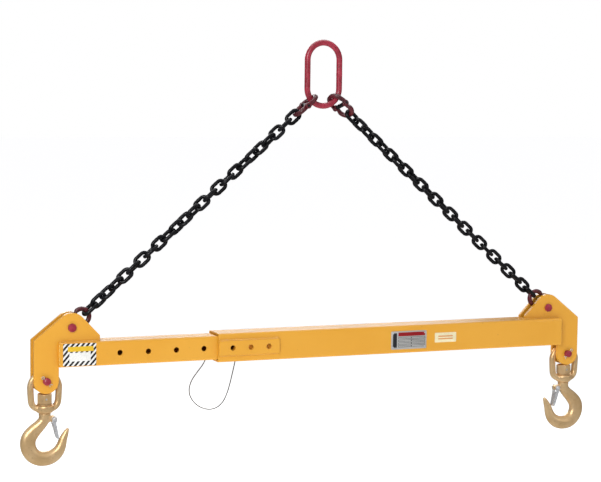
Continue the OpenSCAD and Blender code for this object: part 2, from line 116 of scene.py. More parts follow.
def make_world():
    """White to the camera, and a grey room with a bright ceiling to everything else."""
    world = bpy.data.worlds.new("studio")
    bpy.context.scene.world = world
    world.use_nodes = True
    nodes, links = world.node_tree.nodes, world.node_tree.links
    back = nodes["Background"]
    coords = nodes.new("ShaderNodeTexCoord")
    split = nodes.new("ShaderNodeSeparateXYZ")
    links.new(coords.outputs["Generated"], split.inputs[0])
    ramp = nodes.new("ShaderNodeValToRGB")
    ramp_stops(ramp, [(at, (v, v, v * ROOM_BLUE, 1)) for at, v in ROOM])
    room = nodes.new("ShaderNodeMapRange")
    links.new(split.outputs["Z"], room.inputs["Value"])
    room.inputs["From Min"].default_value = -1
    links.new(room.outputs[0], ramp.inputs[0])
    path = nodes.new("ShaderNodeLightPath")
    pick = nodes.new("ShaderNodeMix")
    pick.data_type = "RGBA"
    links.new(path.outputs["Is Camera Ray"], pick.inputs[0])
    links.new(ramp.outputs[0], pick.inputs[6])
    pick.inputs[7].default_value = WHITE
    links.new(pick.outputs[2], back.inputs["Color"])


def ramp_stops(ramp, stops):
    """Sets a colour ramp's stops of (position, colour)."""
    elements = ramp.color_ramp.elements
    while len(elements) < len(stops):
        elements.new(0.5)
    for element, (at, colour) in zip(elements, stops):
        element.position = at
        element.color = colour


def make_stage():
    rows = [[(x, y, FLOOR_Z) for x in (-FLOOR_REACH, FLOOR_REACH)] for y in (-FLOOR_REACH, FLOOR_REACH)]
    floor = loft("floor", rows, closed=False, caps=False)
    floor.visible_glossy = False
    graph = Graph("floor_white")
    white = graph.mix(graph.between(graph.noise(30, 2), 0, 1), (0.90, 0.90, 0.90, 1), (0.93, 0.93, 0.93, 1))
    graph.set(Base_Color=white, Roughness=0.9, Emission_Color=WHITE, Emission_Strength=FLOOR_GLOW)
    floor.data.materials.append(graph.material)


# ---- Materials ----

class Graph:
    """One material's node tree, with short names for the nodes that repeat."""

    def __init__(self, name):
        self.material = bpy.data.materials.new(name)
        self.material.use_nodes = True
        self.tree = self.material.node_tree
        self.shader = self.tree.nodes["Principled BSDF"]
        self.coords = self.add("TexCoord").outputs["Object"]

    def add(self, kind, inputs=(), **settings):
        node = self.tree.nodes.new("ShaderNode" + kind)
        for key, value in settings.items():
            setattr(node, key, value)
        for key, value in dict(inputs).items():
            self.feed(node.inputs[key], value)
        return node

    def feed(self, socket, value):
        if isinstance(value, bpy.types.NodeSocket):
            self.tree.links.new(value, socket)
        else:
            socket.default_value = value

    def noise(self, scale, detail, coords=None):
        inputs = {"Vector": coords or self.coords, "Scale": scale, "Detail": detail}
        return self.add("TexNoise", inputs).outputs["Fac"]

    def ramp(self, factor, stops):
        node = self.add("ValToRGB", {0: factor})
        ramp_stops(node, stops)
        return node.outputs[0]

    def between(self, factor, low, high):
        """Maps 0.3 to 0.7, where a noise mostly lies, to low to high."""
        inputs = {"Value": factor, "From Min": 0.3, "From Max": 0.7, "To Min": low, "To Max": high}
        return self.add("MapRange", inputs, interpolation_type="SMOOTHSTEP").outputs[0]

    def mix(self, factor, a, b):
        return self.add("Mix", {0: factor, 6: a, 7: b}, data_type="RGBA").outputs[2]

    def maths(self, operation, a, b=0.0):
        return self.add("Math", {0: a, 1: b}, operation=operation).outputs[0]

    def bumps(self, layers, edge=None):
        """Stacks bumps of (height, distance), over edges rounded in the shading by a radius."""
        normal = None
        if edge:
            normal = self.add("Bevel", {"Radius": edge}, samples=6).outputs[0]
        for height, distance in layers:
            inputs = {"Height": height, "Distance": distance, "Strength": 1.0}
            if normal:
                inputs["Normal"] = normal
            normal = self.add("Bump", inputs).outputs[0]
        self.feed(self.shader.inputs["Normal"], normal)

    def set(self, **values):
        for key, value in values.items():
            self.feed(self.shader.inputs[key.replace("_", " ")], value)


def yellow_paint(name, coat):
    """Sprayed enamel with a light orange peel and a few darker specks."""
    g = Graph(name)
    broad, peel, speck = g.noise(4, 3), g.noise(520, 2), g.noise(90, 6)
    colour = g.mix(g.between(broad, 0, 1), (0.745, 0.352, 0.029, 1), (0.775, 0.378, 0.034, 1))
    dust = g.ramp(speck, [(0.70, BLACK), (0.78, WHITE)])
    g.set(Base_Color=g.mix(dust, colour, (0.60, 0.27, 0.03, 1)))
    g.set(Roughness=g.between(broad, 0.28, 0.34), Coat_Weight=coat, Coat_Roughness=0.10)
    g.bumps([(peel, 0.00006), (g.noise(60, 2), 0.00020)], edge=0.0013)
    return g.material


def maroon_paint(name, low, high):
    """Thick paint between two colours, with chips that are near black."""
    g = Graph(name)
    broad, fine = g.noise(45, 4), g.noise(420, 4)
    colour = g.mix(g.between(broad, 0, 1), low, high)
    chips = g.ramp(g.noise(150, 6), [(0.62, BLACK), (0.68, WHITE)])
    g.set(Base_Color=g.mix(chips, colour, (0.10, 0.006, 0.010, 1)))
    g.set(Roughness=g.between(fine, 0.26, 0.46), Coat_Weight=0.35, Coat_Roughness=0.18)
    g.bumps([(broad, 0.0004), (fine, 0.00010)], edge=0.0008)
    return g.material


def black_chain():
    g = Graph("black_lacquer")
    broad, fine = g.noise(60, 4), g.noise(600, 3)
    g.set(Base_Color=g.mix(g.between(broad, 0, 1), (0.003, 0.003, 0.004, 1), (0.010, 0.010, 0.012, 1)))
    g.set(Roughness=g.between(fine, 0.14, 0.24), IOR=1.32)
    g.bumps([(broad, 0.0002), (fine, 0.00003)])
    return g.material


def gold_forging():
    """Gold paint over a forged skin, with small brown stains."""
    g = Graph("gold_bronze_forging")
    broad, scale, fine = g.noise(22, 4), g.noise(260, 5), g.noise(1500, 2)
    colour = g.mix(g.between(broad, 0, 1), (0.74, 0.495, 0.240, 1), (0.90, 0.640, 0.350, 1))
    stain = g.ramp(scale, [(0.25, WHITE), (0.35, BLACK)])
    g.set(Base_Color=g.mix(stain, colour, (0.42, 0.27, 0.12, 1)), Metallic=0.62)
    g.set(Roughness=g.between(scale, 0.28, 0.40))
    g.bumps([(broad, 0.0008), (scale, 0.00016), (fine, 0.00004)], edge=0.0008)
    return g.material


def zinc_plate():
    g = Graph("bright_zinc")
    broad, fine = g.noise(80, 3), g.noise(900, 3)
    g.set(Base_Color=g.mix(g.between(broad, 0, 1), (0.66, 0.67, 0.69, 1), (0.80, 0.81, 0.83, 1)))
    g.set(Metallic=0.6, Roughness=g.between(fine, 0.22, 0.38))
    g.bumps([(fine, 0.00006)], edge=0.0004)
    return g.material


def cable_steel():
    g = Graph("wire_rope")
    broad, fine = g.noise(300, 3), g.noise(2500, 2)
    g.set(Base_Color=g.mix(g.between(broad, 0, 1), (0.13, 0.125, 0.115, 1), (0.22, 0.21, 0.195, 1)))
    g.set(Metallic=0.6, Roughness=g.between(fine, 0.30, 0.45))
    g.bumps([(fine, 0.00004)])
    return g.material


def panel(g, node):
    """A flat node's own coordinates, from 0 to 1 across its width and up its height."""
    low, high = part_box(node)
    split = g.add("SeparateXYZ", {0: g.coords})
    across = g.add("MapRange", {"Value": split.outputs[0], "From Min": low.x, "From Max": high.x})
    up = g.add("MapRange", {"Value": split.outputs[2], "From Min": low.z, "From Max": high.z})
    return across.outputs[0], up.outputs[0]


def patch(g, across, up, x0, x1, z0, z1):
    """1 inside a rectangle of a panel, and 0 outside."""
    sides = [g.maths("GREATER_THAN", across, x0), g.maths("LESS_THAN", across, x1),
             g.maths("GREATER_THAN", up, z0), g.maths("LESS_THAN", up, z1)]
    mask = sides[0]
    for side in sides[1:]:
        mask = g.maths("MULTIPLY", mask, side)
    return mask


def data_plate_print():
    """Brushed metal with a plain red header, a dark strip and four rows of blank fields."""
    g = Graph("etched_plate")
    across, up = panel(g, "data_plate")
    brush = g.add("Mapping", {"Vector": g.coords, "Scale": (40, 40, 1600)}).outputs[0]
    grain = g.noise(1.0, 3, brush)
    colour = g.mix(g.between(grain, 0, 1), (0.50, 0.50, 0.49, 1), (0.68, 0.68, 0.66, 1))
    ink, red, blank = (0.03, 0.03, 0.035, 1), (0.42, 0.015, 0.02, 1), (0.62, 0.62, 0.60, 1)
    colour = g.mix(patch(g, across, up, 0.20, 0.96, 0.72, 0.93), colour, red)
    colour = g.mix(patch(g, across, up, 0.05, 0.16, 0.10, 0.90), colour, ink)
    for row in range(4):
        z = 0.12 + 0.15 * row
        colour = g.mix(patch(g, across, up, 0.20, 0.96, z, z + 0.10), colour, ink)
        for left, right in ((0.21, 0.56), (0.58, 0.95)):
            colour = g.mix(patch(g, across, up, left, right, z + 0.02, z + 0.08), colour, blank)
    g.set(Base_Color=colour, Metallic=0.45, Roughness=g.between(grain, 0.30, 0.45))
    g.bumps([(grain, 0.00004)], edge=0.0004)
    return g.material


def label_print():
    """Cream film with two plain bars."""
    g = Graph("cream_label")
    across, up = panel(g, "capacity_label")
    paper = g.noise(400, 3)
    colour = g.mix(g.between(paper, 0, 1), (0.80, 0.70, 0.42, 1), (0.88, 0.79, 0.52, 1))
    rust = (0.70, 0.30, 0.10, 1)
    for z in (0.30, 0.56):
        colour = g.mix(patch(g, across, up, 0.16, 0.84, z, z + 0.13), colour, rust)
    g.set(Base_Color=colour, Roughness=g.between(paper, 0.30, 0.42), Coat_Weight=0.2)
    g.bumps([(paper, 0.00004)], edge=0.0002)
    return g.material


def hazard_print():
    """Black and white stripes round a plain white panel and a plain yellow band."""
    g = Graph("hazard_stripes")
    across, up = panel(g, "hazard_decal")
    film = g.noise(300, 3)
    width, height, pitch, black_share = 87, 52, 13.5, 0.52
    slope = g.maths("SUBTRACT", g.maths("MULTIPLY", across, width), g.maths("MULTIPLY", up, height))
    stripe = g.maths("LESS_THAN", g.maths("FRACT", g.maths("DIVIDE", slope, pitch)), black_share)
    white = g.mix(g.between(film, 0, 1), (0.78, 0.78, 0.75, 1), (0.86, 0.86, 0.83, 1))
    colour = g.mix(stripe, white, (0.012, 0.012, 0.014, 1))
    colour = g.mix(patch(g, across, up, 0.19, 0.83, 0.21, 0.59), colour, white)
    colour = g.mix(patch(g, across, up, 0.14, 0.92, 0.64, 0.86), colour, (0.80, 0.50, 0.02, 1))
    g.set(Base_Color=colour, Roughness=g.between(film, 0.26, 0.38), Coat_Weight=0.3)
    g.bumps([(film, 0.00003)], edge=0.0002)
    return g.material


# ---- Mesh building ----

def mesh_object(name, points, faces):
    mesh = bpy.data.meshes.new(name)
    mesh.from_pydata([tuple(p) for p in points], [], faces)
    mesh.validate()
    thing = bpy.data.objects.new(name, mesh)
    bpy.context.scene.collection.objects.link(thing)
    for polygon in mesh.polygons:
        polygon.use_smooth = True
    return thing


def loft(name, rings, closed=True, caps=True, looped=False):
    """Joins rings of points, each closed or not, into a skin. looped joins the last to the first."""
    count = len(rings[0])
    points = [p for ring in rings for p in ring]
    faces = []
    for i in range(len(rings) if looped else len(rings) - 1):
        j = (i + 1) % len(rings)
        for k in range(count if closed else count - 1):
            n = (k + 1) % count
            faces.append((i * count + k, i * count + n, j * count + n, j * count + k))
    if caps and not looped:
        faces.append(tuple(range(count - 1, -1, -1)))
        faces.append(tuple(len(points) - count + k for k in range(count)))
    return mesh_object(name, points, faces)


def smooth_line(points, steps):
    """A Catmull-Rom curve through the points, in even steps of its parameter."""
    rows = [Vector(p) for p in points]
    out = []
    for s in range(steps + 1):
        t = s * (len(rows) - 1) / steps
        i = min(int(t), len(rows) - 2)
        f = t - i
        a, b = rows[max(i - 1, 0)], rows[i]
        c, d = rows[i + 1], rows[min(i + 2, len(rows) - 1)]
        out.append(0.5 * (2 * b + (c - a) * f + (2 * a - 5 * b + 4 * c - d) * f * f
                          + (3 * b - a - 3 * c + d) * f ** 3))
    return out


def frames_along(path, looped=False):
    """For each point, two directions across the path that turn as little as they can."""
    n = len(path)
    ways = []
    for i in range(n):
        a = path[(i - 1) % n] if looped else path[max(i - 1, 0)]
        b = path[(i + 1) % n] if looped else path[min(i + 1, n - 1)]
        ways.append((b - a).normalized())
    side = ways[0].orthogonal().normalized()
    out = []
    for way in ways:
        side = (side - way * side.dot(way)).normalized()
        out.append((side, way.cross(side)))
    return out


def tube(name, path, radius, sides=12, looped=False):
    """A round bar along a path. radius is one number, or a list with one for each point."""
    rings = []
    for i, (point, (u, v)) in enumerate(zip(path, frames_along(path, looped))):
        r = radius[i] if isinstance(radius, list) else radius
        rings.append([point + u * r * math.cos(a) + v * r * math.sin(a)
                      for a in (2 * math.pi * k / sides for k in range(sides))])
    return loft(name, rings, looped=looped)


def lathe(name, profile, sides=48, ring=False):
    """Turns (radius, height) pairs about Z. ring joins the profile's ends, for a part with a bore."""
    rings = [[Vector((r * math.cos(a), r * math.sin(a), h))
              for a in (2 * math.pi * k / sides for k in range(sides))] for r, h in profile]
    return loft(name, rings, looped=ring)


def transform(thing, matrix):
    """Moves the mesh itself, so that the object stays at the origin."""
    thing.data.transform(matrix)
    thing.data.update()
    return thing


def joined(name, things):
    """One object from several."""
    mesh = bpy.data.meshes.new(name)
    work = bmesh.new()
    for thing in things:
        work.from_mesh(thing.data)
    work.to_mesh(mesh)
    work.free()
    out = bpy.data.objects.new(name, mesh)
    bpy.context.scene.collection.objects.link(out)
    for thing in things:
        bpy.data.objects.remove(thing)
    for polygon in mesh.polygons:
        polygon.use_smooth = True
    return out


def applied(thing):
    """Puts the object's modifiers into its mesh."""
    depsgraph = bpy.context.evaluated_depsgraph_get()
    mesh = bpy.data.meshes.new_from_object(thing.evaluated_get(depsgraph))
    thing.modifiers.clear()
    old = thing.data
    thing.data = mesh
    bpy.data.meshes.remove(old)
    for polygon in mesh.polygons:
        polygon.use_smooth = True
    return thing


def forged(name, things, voxel, rounds):
    """Melts overlapping solids into one smooth forging, on a grid of voxel mm."""
    out = joined(name, things)
    remesh = out.modifiers.new("melt", "REMESH")
    remesh.mode = "VOXEL"
    remesh.voxel_size = voxel * MM
    soften = out.modifiers.new("soften", "SMOOTH")
    soften.factor = 0.5
    soften.iterations = rounds
    return applied(out)


def cut_by(thing, cutter):
    """Takes the cutter's solid out of a piece, and removes the cutter."""
    cut = thing.modifiers.new("cut", "BOOLEAN")
    cut.operation = "DIFFERENCE"
    cut.solver = "EXACT"
    cut.object = cutter
    applied(thing)
    bpy.data.objects.remove(cutter)
    return thing


def rod(length, radius):
    """A plain round cutter about Z, centred."""
    return lathe("rod", [(radius, -length / 2), (radius, length / 2)])


def finish_piece(piece, body, slot, paint, *nodes):
    """Paints a piece, lets it ride with its body, and lets it stand for CAD nodes, if any."""
    piece.data.materials.clear()
    piece.data.materials.append(paint)
    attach(piece, body)
    if nodes:
        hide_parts(*nodes)
    return piece


# ---- Sections, plates and beads ----

SHARP_ANGLE = 35
CORNER_STEPS = 6
BEAD_PITCH, BEAD_STEP, BEAD_TAPER = 4.2, 0.5, 3


def swept(name, rows, steps, sides, square=2.3):
    """A bar along a line in the XZ plane.

    Each row is (x, z, width in the plane, thickness along Y), in mm. Its section is round at square = 2 and
    squarer above.
    """
    line = smooth_line([(x, z, w) for x, z, w, t in rows], steps)
    thick = smooth_line([(t, 0, 0) for x, z, w, t in rows], steps)
    path = [Vector((p.x, 0, p.y)) for p in line]
    rings = []
    for i, point in enumerate(path):
        way = (path[min(i + 1, steps)] - path[max(i - 1, 0)]).normalized()
        across = way.cross(Vector((0, 1, 0)))
        ring = []
        for k in range(sides):
            c, s = math.cos(2 * math.pi * k / sides), math.sin(2 * math.pi * k / sides)
            u = math.copysign(abs(c) ** (2 / square), c) * line[i].z / 2
            v = math.copysign(abs(s) ** (2 / square), s) * thick[i].x / 2
            ring.append((point + across * u + Vector((0, v, 0))) * MM)
        rings.append(ring)
    return loft(name, rings)


def extruded(name, outline, y0, y1, bevel=0.0):
    """A plate from an outline of (x, z) points in mm, from y0 to y1, with rounded edges."""
    work = bmesh.new()
    front = [work.verts.new((x * MM, y0 * MM, z * MM)) for x, z in outline]
    back = [work.verts.new((x * MM, y1 * MM, z * MM)) for x, z in outline]
    work.faces.new(front)
    work.faces.new(back[::-1])
    for i in range(len(outline)):
        n = (i + 1) % len(outline)
        work.faces.new((front[n], front[i], back[i], back[n]))
    bmesh.ops.recalc_face_normals(work, faces=work.faces)
    mesh = bpy.data.meshes.new(name)
    work.to_mesh(mesh)
    work.free()
    plate = bpy.data.objects.new(name, mesh)
    bpy.context.scene.collection.objects.link(plate)
    return rounded(plate, bevel) if bevel else plate


def rounded(thing, width, segments=3):
    """Rounds a solid's sharp edges."""
    bevel = thing.modifiers.new("round", "BEVEL")
    bevel.width = width * MM
    bevel.segments = segments
    bevel.limit_method = "ANGLE"
    bevel.angle_limit = math.radians(SHARP_ANGLE)
    bevel.harden_normals = True
    return applied(thing)


def arc(x, z, radius, start, end, steps):
    """Points (x, z) round a centre, from a start to an end in degrees."""
    return [(x + radius * math.cos(math.radians(a)), z + radius * math.sin(math.radians(a)))
            for a in (start + (end - start) * i / steps for i in range(steps + 1))]


def rounded_rectangle(x0, x1, z0, z1, radius):
    corners = [(x1, z1, 0), (x0, z1, 90), (x0, z0, 180), (x1, z0, 270)]
    outline = []
    for x, z, turn in corners:
        cx = x - math.copysign(radius, x - (x0 + x1) / 2)
        cz = z - math.copysign(radius, z - (z0 + z1) / 2)
        outline += arc(cx, cz, radius, turn, turn + 90, CORNER_STEPS)
    return outline


def bead(name, start, end, radius):
    """A weld bead from start to end, in mm, rippled like the stacked pools of a hand weld."""
    start, end = Vector(start), Vector(end)
    length = (end - start).length
    steps = int(length / BEAD_STEP)
    path = [start.lerp(end, i / steps) * MM for i in range(steps + 1)]
    radii = []
    for i in range(steps + 1):
        along = length * i / steps
        ripple = abs(math.sin(math.pi * along / BEAD_PITCH)) ** 0.6
        wander = noise.noise(Vector((along * 0.11, start.y, start.z)))
        fade = min(1, 0.35 + min(along, length - along) / BEAD_TAPER)
        radii.append(radius * MM * fade * (0.74 + 0.22 * ripple + 0.12 * wander))
    return tube(name, path, radii, 16)


# ---- Sling ----

MASTER_L, MASTER_W, MASTER_D = 152.4, 76.2, 15.9
BOW = Vector(JOINTS["right_leg_swing"]["pos_m"])
TO_PIN = middle("right_upper_pin") - BOW
LEG_ANGLE = math.degrees(math.atan2(-TO_PIN.z, TO_PIN.x))
LEFT_LEAN = 0.05
COUPLING_START, COUPLING_L = 37.5, 62.0
COUPLING_BAR, COUPLING_BOW_Z, COUPLING_BOW_R = 12.2, 17, 20
LOAD_PIN_HOLE_R = 4.05
HANG_GAP = 0.4
CHAIN_START = COUPLING_START + COUPLING_L - HANG_GAP
CHAIN_D, CHAIN_PITCH, CHAIN_LINKS = 10.0, 31.0, 25
CHAIN_END = CHAIN_START + CHAIN_LINKS * CHAIN_PITCH
LINK_TURNS = CHAIN_LINKS + 1
# Each leg's roll at its upper coupling, and what each turn below it adds to a quarter turn, in degrees
ROLLS = {"left": (0, 270 / LINK_TURNS), "right": (-30, -60 / LINK_TURNS)}


def down_leg(side, along, roll):
    """A place on a leg: Z runs down it, and along is the distance in mm from the master link's bow."""
    lean = LEFT_LEAN if side == "left" else 0
    slope = math.radians(SIDES[side] * (90 + LEG_ANGLE + lean))
    return (Matrix.Translation(BOW) @ Matrix.Rotation(slope, 4, "Y")
            @ Matrix.Rotation(math.radians(90), 4, "Z")
            @ Matrix.Translation((0, 0, along * MM)) @ Matrix.Rotation(math.radians(roll), 4, "Z"))


def oval(in_l, in_w, d, arc_steps, side_steps):
    """The centreline of an oval link in the XZ plane, long in Z, from the middle of its right side."""
    r, h = (in_w + d) / 2, (in_l - in_w) / 2
    line = [(r, h * i / side_steps) for i in range(side_steps)]
    line += arc(0, h, r, 0, 180, arc_steps)
    line += [(-r, h - h * i / side_steps) for i in range(1, 2 * side_steps)]
    line += arc(0, -h, r, 180, 360, arc_steps)
    line += [(r, -h + h * i / side_steps) for i in range(1, side_steps)]
    return [Vector((x, 0, z)) * MM for x, z in line]


def welded_link(name, in_l, in_w, d, arc_steps, side_steps, sides, swell):
    """A link of round bar. Its butt weld swells the middle of one side by a share of the radius."""
    path = oval(in_l, in_w, d, arc_steps, side_steps)
    weld, reach = path[0], 0.28 * d * MM
    radii = [d / 2 * MM * (1 + swell * math.exp(-((p - weld).length / reach) ** 2)) for p in path]
    return tube(name, path, radii, sides, looped=True)


def make_master_link():
    link = welded_link("master_link_bar", MASTER_L, MASTER_W, MASTER_D,
                       arc_steps=40, side_steps=18, sides=36, swell=0.035)
    transform(link, Matrix.Translation(middle("master_link")))
    finish_piece(link, "master_link", "maroon_paint", MATERIALS["maroon_paint"], "master_link")


def make_chain(side):
    """Links in alternate turns down the leg. Every third has its weld on the other side."""
    roll, twist = ROLLS[side]
    links = []
    for k in range(1, CHAIN_LINKS + 1):
        link = welded_link("link", CHAIN_PITCH + HANG_GAP, CHAIN_D * 1.4, CHAIN_D,
                           arc_steps=14, side_steps=6, sides=18, swell=0.07)
        if k % 3 == 0:
            transform(link, Matrix.Rotation(math.pi, 4, "Z"))
        along = CHAIN_START + (k - 0.5) * CHAIN_PITCH + HANG_GAP / 2
        links.append(transform(link, down_leg(side, along, roll + k * (90 + twist))))
    chain = joined(f"{side}_chain_links", links)
    finish_piece(chain, f"{side}_leg", "black_chain", MATERIALS["black_chain"], f"{side}_chain")


def mirrored(arm):
    """The rows of an arm on the other side, from its far end back to its start."""
    return [(-x, z, w, t) for x, z, w, t in arm[::-1]]


def coupling_half(name, outside):
    """One forged half: a bow that flattens into two eyes on the load pin, which is at its origin.

    The eyes of an outside half stand outside those of the other half.
    """
    eye_x = 23.0 if outside else 17.0
    arm_x = 22.5 if outside else 18.2
    arm = [(eye_x, -2, 4.6, 12), (eye_x, 4, 5.2, 13.5), (arm_x, 11, 7.8, 13.5), (20, 18, 11.8, 12)]
    bow = [(x, z, COUPLING_BAR, COUPLING_BAR) for x, z in arc(0, COUPLING_BOW_Z, COUPLING_BOW_R, 30, 150, 4)]
    things = [swept("bow", arm + bow + mirrored(arm), 60, 24)]
    for sign in (-1, 1):
        eye = lathe("eye", [(0, -2.8), (7.2, -2.8), (8, -2), (8, 2), (7.2, 2.8), (0, 2.8)], 40)
        transform(eye, Matrix.Translation((sign * eye_x * MM, 0, 0)) @ UP_TO_X @ TO_METRES)
        things.append(eye)
    half = forged(name, things, 0.7, 4)
    return cut_by(half, transform(rod(90 * MM, LOAD_PIN_HOLE_R * MM), UP_TO_X))


def load_pin(name):
    """A load pin in its sleeve."""
    pin = [(0, -25.8), (3.4, -25.8), (4, -25.2), (4, 25.2), (3.4, 25.8), (0, 25.8)]
    sleeve = [(LOAD_PIN_HOLE_R, -13.8), (5.4, -13.8), (6, -13.2), (6, -1), (5.7, -0.5), (5.7, 0.5), (6, 1),
              (6, 13.2), (5.4, 13.8), (LOAD_PIN_HOLE_R, 13.8)]
    things = [lathe("pin", pin, 32), lathe("sleeve", sleeve, 32, ring=True)]
    for thing in things:
        transform(thing, UP_TO_X @ TO_METRES)
    return joined(name, things)


def make_couplings(side):
    roll, twist = ROLLS[side]
    spots = {"upper": (COUPLING_START, roll), "lower": (CHAIN_END, roll + LINK_TURNS * (90 + twist))}
    flip = Matrix.Rotation(math.pi, 4, "X")
    for level, (start, turn) in spots.items():
        place = down_leg(side, start + COUPLING_L / 2, turn)
        for end in ("top", "bottom"):
            outside = (level == "upper") == (end == "top")
            node = f"{side}_{level}_coupling_{end}"
            half = coupling_half(f"{node}_forging", outside)
            transform(half, place @ flip if end == "top" else place)
            # The coupling halves take the darker copy of the maroon paint: painted shade, since their paint is the
            # master link's maroon.
            finish_piece(half, f"{side}_leg", "maroon_paint", SHADED_MAROON, node)
        pin = transform(load_pin(f"{side}_{level}_load_pin_steel"), place)
        node = f"{side}_{level}_load_pin"
        finish_piece(pin, f"{side}_leg", "black_chain", MATERIALS["black_chain"], node)


# ---- Pins and cotters ----

UPPER_PIN_R, UPPER_HEAD_R = 8.0, 11.0
LOWER_PIN_R, LOWER_HEAD_R = 9.5, 13.0
PIN_HEAD_T = 5.0
COTTER_WIRE_R, COTTER_INSET = 0.95, 6
LOWER_COTTER_LEAN = 45


def headed_pin(node, body, radius, head_radius, head_first):
    """A pin along Y with a rounded head at its front or its back, in the space of its CAD node."""
    low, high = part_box(node)
    mid = middle(node)
    length = (high.y - low.y) / MM
    profile = [(0, 0), (head_radius - 0.9, 0), (head_radius - 0.25, 0.3), (head_radius, 1.0),
               (head_radius, PIN_HEAD_T), (radius, PIN_HEAD_T), (radius, length - 1.6),
               (radius - 1.4, length), (0, length)]
    pin = lathe(f"{node}_steel", profile)
    if head_first:
        place = Matrix.Translation((mid.x, low.y, mid.z)) @ UP_TO_Y
    else:
        place = Matrix.Translation((mid.x, high.y, mid.z)) @ UP_TO_FRONT
    transform(pin, place @ TO_METRES)
    finish_piece(pin, body, "maroon_paint", MATERIALS["maroon_paint"], node)


def split_pin(name, centre, pin_radius, lean):
    """A split cotter through a pin: a loop above it, two half-round legs, and their ends bent apart."""
    r = pin_radius
    line = [(-4.5, -r - 5.5), (-2.6, -r - 4.0), (-1.1, -r - 1.6), (-0.95, -r + 1), (-0.95, 0), (-0.95, r),
            (-1.1, r + 1.2), (-3.1, r + 3.4), (-3.3, r + 5.4), (-1.9, r + 7.4), (0, r + 8.0),
            (1.9, r + 7.4), (3.3, r + 5.4), (3.1, r + 3.4), (1.1, r + 1.2), (0.95, r), (0.95, 0),
            (0.95, -r + 1), (1.1, -r - 1.6), (2.6, -r - 4.4), (4.2, -r - 7.0)]
    path = [Vector((p.x, 0, p.y)) * MM for p in smooth_line([(x, z, 0) for x, z in line], 90)]
    wire = tube(name, path, COTTER_WIRE_R * MM, 10)
    return transform(wire, Matrix.Translation(centre) @ Matrix.Rotation(math.radians(lean), 4, "Y"))


def make_bracket_pins(side):
    """The upper pin has its head in front and its cotter behind, and the lower pin the other way round."""
    body = BEAM_OF[side]
    upper, lower = f"{side}_upper_pin", f"{side}_lower_pin"
    headed_pin(upper, body, UPPER_PIN_R, UPPER_HEAD_R, True)
    headed_pin(lower, body, LOWER_PIN_R, LOWER_HEAD_R, False)
    back = Vector((middle(upper).x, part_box(upper)[1].y - COTTER_INSET * MM, middle(upper).z))
    front = Vector((middle(lower).x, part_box(lower)[0].y + COTTER_INSET * MM, middle(lower).z))
    wires = [split_pin("wire", back, UPPER_PIN_R, 0),
             split_pin("wire", front, LOWER_PIN_R, LOWER_COTTER_LEAN * SIDES[side])]
    cotters = joined(f"{side}_split_pins", wires)
    finish_piece(cotters, body, "zinc", MATERIALS["zinc"], f"{side}_cotters")


# ---- Beam details ----

RIVET_INSET = 2
SLEEVE_BEAD_R, SLEEVE_END_BEAD_R, BRACKET_BEAD_R = 4.4, 4.2, 3.0


def flat_piece(node, name, corner, slot, body, bevel):
    """A plate or film in the space of its CAD node, with round corners."""
    low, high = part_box(node)
    outline = rounded_rectangle(low.x / MM, high.x / MM, low.z / MM, high.z / MM, corner)
    piece = extruded(name, outline, low.y / MM, high.y / MM, bevel)
    finish_piece(piece, body, slot, MATERIALS[slot], node)


def make_rivets():
    low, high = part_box("data_plate_rivets")
    inset = RIVET_INSET * MM
    profile = [(0, -0.9), (2.0, -0.9), (2.0, -0.2), (1.7, 0.45), (1.0, 0.95), (0, 1.15)]
    rivets = []
    for x in (low.x + inset, high.x - inset):
        for z in (low.z + inset, high.z - inset):
            place = Matrix.Translation((x, high.y, z)) @ UP_TO_FRONT
            rivets.append(transform(lathe("dome", profile, 24), place @ TO_METRES))
    rivets = joined("data_plate_rivet_heads", rivets)
    finish_piece(rivets, "outer_beam", "zinc", MATERIALS["zinc"], "data_plate_rivets")


def make_sleeve_beads():
    """Beads above, below and at the inner end of the plates on both sides of the outer tube."""
    low, high = (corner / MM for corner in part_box("front_sleeve_plate"))
    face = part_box("outer_tube")[1].y / MM
    beads = []
    for y in (-face, face):
        for z in (low.z, high.z):
            beads.append(bead("bead", (low.x + 1, y, z), (high.x - 0.5, y, z), SLEEVE_BEAD_R))
        beads.append(bead("bead", (high.x, y, low.z), (high.x, y, high.z), SLEEVE_END_BEAD_R))
    beads = joined("sleeve_weld_beads", beads)
    finish_piece(beads, "outer_beam", "yellow_paint", BEAD_PAINT, "sleeve_welds")


def make_bracket_beads(side):
    """Beads where the cheeks come up through the tube's top, and where they leave its end."""
    tube_node = "inner_tube" if side == "left" else "outer_tube"
    low, high = (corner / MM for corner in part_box(tube_node))
    cheek_low, cheek_high = (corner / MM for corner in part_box(f"{side}_front_cheek"))
    end, foot = (low.x, cheek_high.x) if side == "left" else (high.x, cheek_low.x)
    face = -cheek_low.y
    beads = []
    for sign in (-1, 1):
        y = sign * (face + 0.2)
        beads.append(bead("bead", (foot, y, high.z), (end, y, high.z), BRACKET_BEAD_R))
        y = sign * (high.y - BRACKET_BEAD_R)
        beads.append(bead("bead", (end, y, low.z + 5), (end, y, high.z - 3), BRACKET_BEAD_R))
    beads.append(bead("bead", (foot, -face, high.z), (foot, face, high.z), BRACKET_BEAD_R))
    beads = joined(f"{side}_bracket_beads", beads)
    finish_piece(beads, BEAM_OF[side], "yellow_paint", BEAD_PAINT)


# ---- Index pin and lanyard ----

